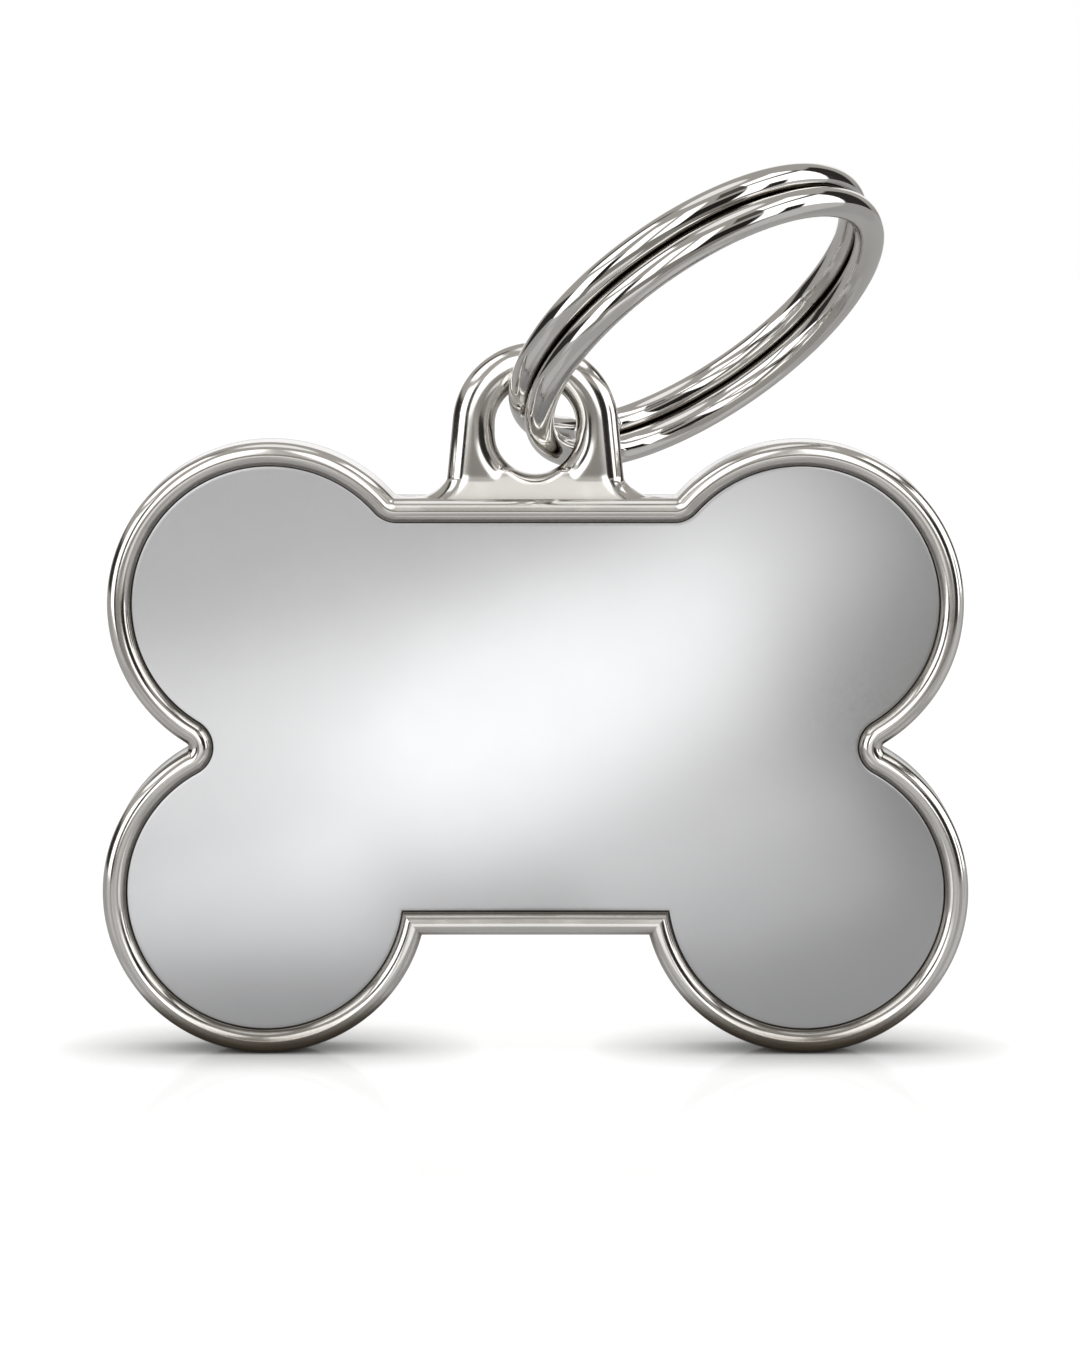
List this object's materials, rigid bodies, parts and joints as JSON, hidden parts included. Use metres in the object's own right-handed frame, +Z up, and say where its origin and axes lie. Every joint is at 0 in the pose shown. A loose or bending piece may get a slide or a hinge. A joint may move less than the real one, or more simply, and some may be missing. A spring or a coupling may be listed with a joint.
{
  "type": "pet id tag",
  "caption": "Bone-shaped pet id tag: a polished cast frame with a beaded rim and an eyelet, a satin engraving plate let into it, and a wire split ring that swings in the eyelet.",
  "frame": {"origin": "on the surface that the tag stands on, midway across the bone and midway through its thickness", "axes": "+X to the right seen from the front, +Y from the plate to the back, +Z up towards the eyelet"},
  "size_m": [0.04, 0.0178, 0.0411],
  "materials": {
    "polished_casting": "mirror polished and plated",
    "adhesive": "clear acrylic adhesive film",
    "satin_plate": "fine satin, bare for engraving",
    "ring_wire": "nickel plated drawn wire"
  },
  "bodies": {
    "tag": {"frame": "polished_casting", "adhesive_film": "adhesive", "face_plate": "satin_plate"},
    "ring": {"split_ring": "ring_wire"}
  },
  "joints": [
    {"name": "ring_swing", "type": "hinge", "parent": "tag", "child": "ring", "pos_m": [0, 0, 0.0289], "axis": [0, 1, 0], "range_deg": [-145, 35]}
  ]
}
